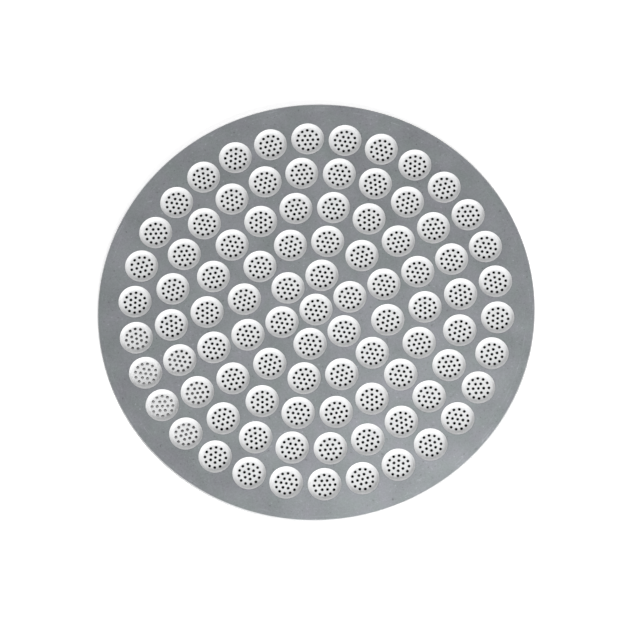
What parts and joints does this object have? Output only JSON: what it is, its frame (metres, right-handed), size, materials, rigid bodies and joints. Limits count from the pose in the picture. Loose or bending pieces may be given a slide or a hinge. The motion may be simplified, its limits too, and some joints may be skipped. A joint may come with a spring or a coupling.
{
  "type": "espresso puck screen",
  "caption": "Thin round stainless plate with a pattern of round etched recesses, each with a cluster of fine through holes in its floor, for laying on the coffee in an espresso basket.",
  "frame": {"origin": "centre of the underside, the face that lies on the coffee", "axes": "+Z out of the recessed upper face, along the plate's axis; +X along the first spoke of the recess pattern"},
  "size_m": [0.0584, 0.0584, 0.0008],
  "materials": {
    "stainless": "satin stainless steel, with paler etched recesses"
  },
  "bodies": {
    "root": {"puck_screen": "stainless"}
  },
  "joints": []
}
